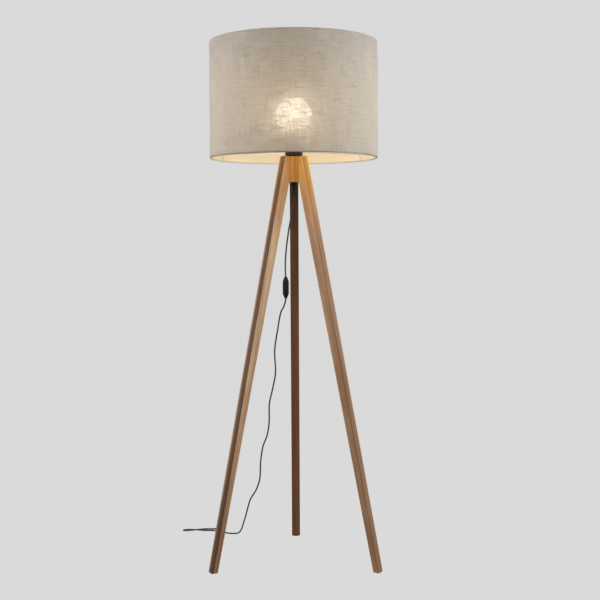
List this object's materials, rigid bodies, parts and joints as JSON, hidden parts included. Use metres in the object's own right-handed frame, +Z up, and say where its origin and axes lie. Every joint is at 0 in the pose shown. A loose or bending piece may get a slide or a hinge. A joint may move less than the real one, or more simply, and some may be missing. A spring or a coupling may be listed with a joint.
{
  "type": "tripod floor lamp",
  "caption": "Floor lamp: tapered wooden tripod, hexagonal head block, screw lampholder with globe bulb, linen drum shade, and a mains cord with inline rocker switch and plug.",
  "frame": {"origin": "on the floor, at the middle of the rectangle that the legs and the shade cover; the lamp's own upright axis stands 17 mm in front of it, at Y = -0.017", "axes": "+Z up along the lamp's axis, +Y from the front towards the rear leg, +X to the right as seen from the front"},
  "size_m": [0.5694, 0.6326, 1.4],
  "materials": {
    "head_wood": "stained and lacquered, satin, warm orange-brown",
    "leg_wood": "walnut-stained and lacquered, satin, grain along the leg",
    "dowel_wood": "plain beech, fluted, glued",
    "felt": "dark pressed felt",
    "zinc_steel": "zinc-plated steel",
    "grip_nylon": "black moulded nylon",
    "soft_pvc": "black flexible plastic, fine matt",
    "cord_sheath": "black flexible sheath, slight sheen",
    "core_insulation": "plain insulation",
    "bronzed_steel": "dark bronze paint, satin",
    "holder_brown": "dark brown moulding, soft gloss",
    "holder_phenolic": "black moulding, soft gloss",
    "porcelain": "off-white glazed ceramic",
    "brass": "plain brass",
    "bulb_metal": "nickel-plated, satin",
    "bulb_insulation": "black glassy insulator",
    "bulb_housing": "white moulded plastic",
    "circuit_board": "green board with components",
    "led_plate": "bare aluminium",
    "led_phosphor": "yellow phosphor",
    "opal_glass": "white opal glass",
    "white_enamel": "off-white coated wire, satin",
    "liner_film": "cream styrene film, matt",
    "linen": "grey-beige slub linen, matt",
    "switch_plastic": "black moulded plastic, fine spark texture",
    "rocker_plastic": "black moulded plastic, satin",
    "screw_steel": "plated steel",
    "tie_nylon": "black woven hook tape",
    "plug_plastic": "black moulded flexible plastic",
    "bridge_plastic": "pale inner moulding that holds the blades"
  },
  "bodies": {
    "base": {"head_block": "head_wood", "leg_rear": "leg_wood", "leg_front_left": "leg_wood", "leg_front_right": "leg_wood", "leg_dowels": "dowel_wood", "foot_pads": "felt", "threaded_tube": "zinc_steel", "tube_washer": "zinc_steel", "tube_nut": "zinc_steel", "cord_grip": "grip_nylon", "strain_relief": "soft_pvc", "inner_cable": "cord_sheath", "inner_cores": "core_insulation", "base_plate": "bronzed_steel", "holder_cap": "holder_brown", "cap_nut": "zinc_steel", "holder_body": "holder_phenolic", "holder_insert": "porcelain", "terminal_screws": "brass", "screw_shell": "brass", "centre_contact": "brass", "shade_ring": "holder_phenolic", "bulb_contact": "bulb_metal", "bulb_insulator": "bulb_insulation", "bulb_cap": "bulb_metal", "bulb_neck": "bulb_housing", "bulb_driver": "circuit_board", "bulb_led_plate": "led_plate", "bulb_leds": "led_phosphor", "bulb_globe": "opal_glass", "cord_upper": "cord_sheath", "switch_front": "switch_plastic", "switch_back": "switch_plastic", "switch_screws": "screw_steel", "switch_contacts": "brass", "switch_wires": "core_insulation", "cord_lower": "cord_sheath", "cord_hank": "cord_sheath", "hank_tie": "tie_nylon", "cord_tail": "cord_sheath", "plug_relief": "soft_pvc", "plug_body": "plug_plastic", "plug_bridge": "bridge_plastic", "plug_blades": "brass"},
    "shade": {"spider": "white_enamel", "bottom_ring": "white_enamel", "top_ring": "white_enamel", "shade_liner": "liner_film", "shade_cover": "linen", "hem_bottom": "linen", "hem_top": "linen"},
    "rocker": {"switch_rocker": "rocker_plastic"}
  },
  "joints": [
    {"name": "shade_turn", "type": "hinge", "parent": "base", "child": "shade", "pos_m": [0, -0.017, 1.1115], "axis": [0, 0, 1], "continuous": true},
    {"name": "rocker_press", "type": "hinge", "parent": "base", "child": "rocker", "pos_m": [-0.024, 0.016, 0.744], "axis": [1, 0, 0], "range_deg": [0, 14]}
  ]
}
